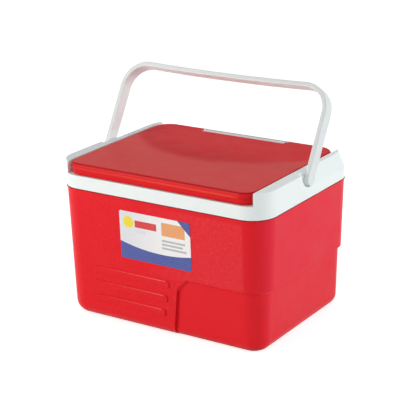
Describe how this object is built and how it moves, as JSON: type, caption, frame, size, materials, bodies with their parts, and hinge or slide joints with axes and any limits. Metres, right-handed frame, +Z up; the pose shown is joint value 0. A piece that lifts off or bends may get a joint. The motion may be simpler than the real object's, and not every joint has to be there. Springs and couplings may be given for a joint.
{
  "type": "vaccine carrier",
  "caption": "Red insulated carrier with a rear-hinged lid between raised collar ears, a swing handle, and coolant packs round a foam-topped storage space.",
  "frame": {"origin": "centre of the bottom face", "axes": "+Z up, +X along the length towards the right-hand end, front face towards -Y"},
  "size_m": [0.3474, 0.26, 0.3426],
  "materials": {
    "red_shell": "moulded red plastic, satin with a fine grain on the front panel",
    "red_lid": "moulded red plastic, satin gloss",
    "white_collar": "moulded white plastic, satin gloss",
    "white_handle": "moulded off-white plastic, satin",
    "white_liner": "moulded white plastic, smooth",
    "rigid_foam": "rigid insulating foam",
    "soft_foam": "soft grey foam",
    "pack_blue": "translucent blow-moulded plastic",
    "cap_white": "moulded white plastic",
    "label_film": null,
    "steel_pin": "plain steel pin"
  },
  "bodies": {
    "body": {"outer_shell": "red_shell", "body_insulation": "rigid_foam", "inner_tub": "white_liner", "collar": "white_collar", "label": "label_film", "coolant_pack_front": "pack_blue", "coolant_pack_rear": "pack_blue", "coolant_pack_left": "pack_blue", "coolant_pack_right": "pack_blue", "pack_cap_front": "cap_white", "pack_cap_rear": "cap_white", "pack_cap_left": "cap_white", "pack_cap_right": "cap_white", "vial_pad": "soft_foam"},
    "lid": {"lid_cover": "red_lid", "lid_insulation": "rigid_foam", "lid_liner": "white_liner", "hinge_pin_left": "steel_pin", "hinge_pin_right": "steel_pin"},
    "handle": {"handle_bail": "white_handle"}
  },
  "joints": [
    {"name": "lid_hinge", "type": "hinge", "parent": "body", "child": "lid", "pos_m": [0, 0.1095, 0.2246], "axis": [-1, 0, 0], "range_deg": [0, 55]},
    {"name": "handle_swing", "type": "hinge", "parent": "body", "child": "handle", "pos_m": [0, -0.002, 0.224], "axis": [-1, 0, 0], "range_deg": [-70, 38]}
  ]
}
